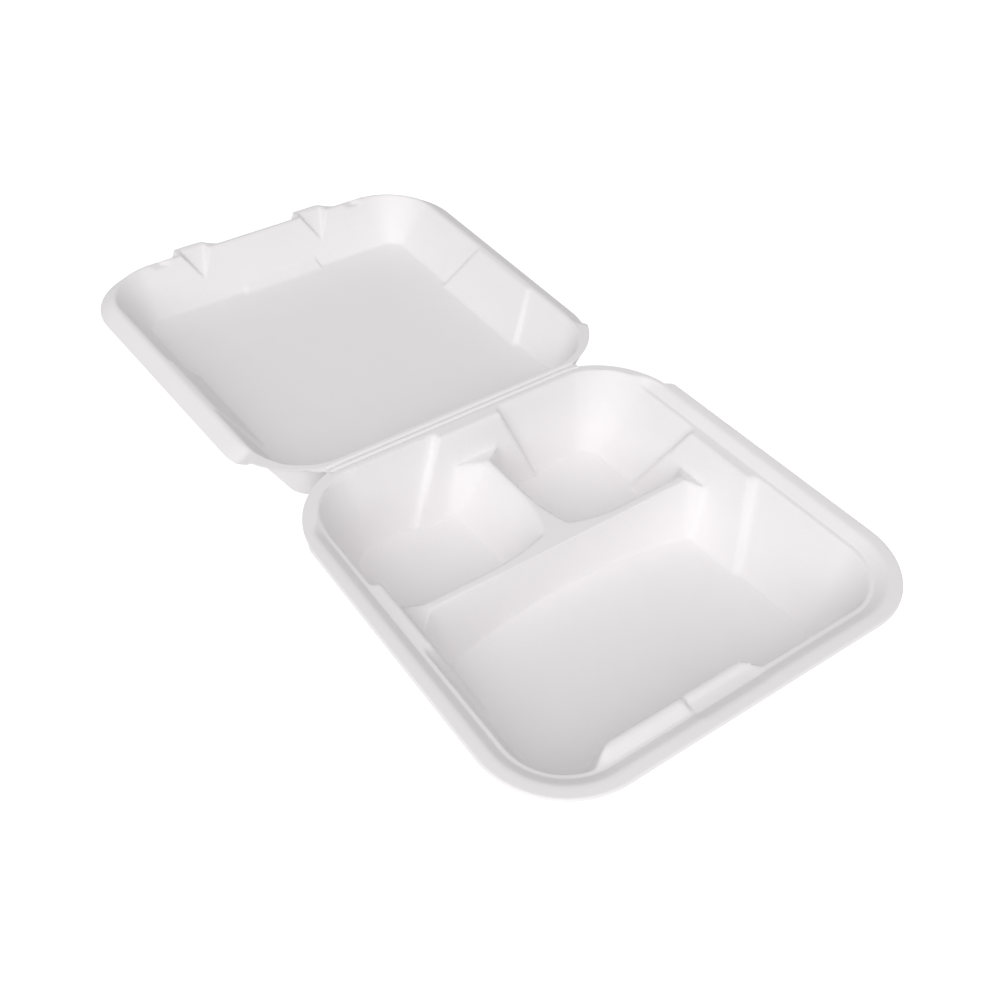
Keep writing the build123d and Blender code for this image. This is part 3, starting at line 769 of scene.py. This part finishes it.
# %% Floor
floor_half = 6
floor_corners = [(-1, -1), (1, -1), (1, 1), (-1, 1)]
floor_mesh = bpy.data.meshes.new("floor")
floor_points = [(floor_half * u, floor_half * v, 0) for u, v in floor_corners]
floor_mesh.from_pydata(floor_points, [], [(0, 1, 2, 3)])
floor = bpy.data.objects.new("floor", floor_mesh)
bpy.context.scene.collection.objects.link(floor)
floor_look = bpy.data.materials.new("floor")
floor_look.use_nodes = True
nodes = floor_look.node_tree.nodes
links = floor_look.node_tree.links
diffuse = nodes["Principled BSDF"]
diffuse.inputs["Base Color"].default_value = (0.85, 0.85, 0.85, 1.0)
diffuse.inputs["Roughness"].default_value = 1.0
diffuse.inputs["Specular IOR Level"].default_value = 0.0
glow = nodes.new("ShaderNodeEmission")
glow.inputs["Strength"].default_value = 0.7
paths = nodes.new("ShaderNodeLightPath")
seen = nodes.new("ShaderNodeMath")
seen.operation = "MAXIMUM"
links.new(paths.outputs["Is Camera Ray"], seen.inputs[0])
links.new(paths.outputs["Is Glossy Ray"], seen.inputs[1])
nothing = nodes.new("ShaderNodeEmission")
nothing.inputs["Strength"].default_value = 0.0
chosen = nodes.new("ShaderNodeMixShader")
links.new(seen.outputs[0], chosen.inputs[0])
links.new(nothing.outputs[0], chosen.inputs[1])
links.new(glow.outputs[0], chosen.inputs[2])
total = nodes.new("ShaderNodeAddShader")
links.new(diffuse.outputs[0], total.inputs[0])
links.new(chosen.outputs[0], total.inputs[1])
links.new(total.outputs[0], nodes["Material Output"].inputs["Surface"])
floor_mesh.materials.append(floor_look)
print("floor", 2 * floor_half, "m wide")

# %% World and lamp
key_place, key_aim, key_size, key_power = (-1.5, -1.3, 1.7), (0.0, 0.1, 0.03), 2.8, 45.0
world = bpy.data.worlds.new("studio")
bpy.context.scene.world = world
world.use_nodes = True
sky = world.node_tree.nodes
sky["Background"].inputs["Color"].default_value = (1.0, 1.0, 1.0, 1.0)
sky_paths = sky.new("ShaderNodeLightPath")
sky_level = sky.new("ShaderNodeMapRange")
sky_level.inputs["To Min"].default_value = 0.45
sky_level.inputs["To Max"].default_value = 1.0
sky_links = world.node_tree.links
sky_links.new(sky_paths.outputs["Is Camera Ray"], sky_level.inputs["Value"])
sky_links.new(sky_level.outputs["Result"], sky["Background"].inputs["Strength"])


def lamp(name, place, aim, size, power):
    """Square area lamp at a place, turned towards a point, all in metres."""
    light = bpy.data.lights.new(name, "AREA")
    light.shape = "SQUARE"
    light.size = size
    light.energy = power
    holder = bpy.data.objects.new(name, light)
    bpy.context.scene.collection.objects.link(holder)
    holder.location = place
    across, along, down = np.array(aim) - np.array(place)
    tip = math.atan2(math.hypot(across, along), -down)
    holder.rotation_euler = (tip, 0.0, math.atan2(-across, along))
    return holder


lamp("key", key_place, key_aim, key_size, key_power)
print("lamp", key_size, "m wide,", key_power, "W")

# %% Camera
camera_lens, camera_sensor = 45.41, 36.0
camera_place = np.array([-0.29036, -0.29914, 0.46407])
camera_aim = np.array([-0.00747, 0.06261, 0.03])
camera_roll = math.radians(2.985)
camera = bpy.data.objects.new("camera", bpy.data.cameras.new("camera"))
bpy.context.scene.collection.objects.link(camera)
bpy.context.scene.camera = camera
camera.data.sensor_width = camera_sensor
camera.data.lens = camera_lens
forward = (camera_aim - camera_place) / np.linalg.norm(camera_aim - camera_place)
level = np.cross(forward, (0.0, 0.0, 1.0))
level = level / np.linalg.norm(level)
upright = np.cross(level, forward)
right = math.cos(camera_roll) * level + math.sin(camera_roll) * upright
up = math.cos(camera_roll) * upright - math.sin(camera_roll) * level
matrix = np.eye(4)
matrix[:3, 0] = right
matrix[:3, 1] = up
matrix[:3, 2] = -forward
matrix[:3, 3] = camera_place
camera.matrix_world = matrix.T.tolist()
bpy.context.scene.view_settings.view_transform = "Standard"
print("camera", round(float(np.linalg.norm(camera_aim - camera_place)), 3), "m from the box")

# %% Update the scene
bpy.context.view_layer.update()
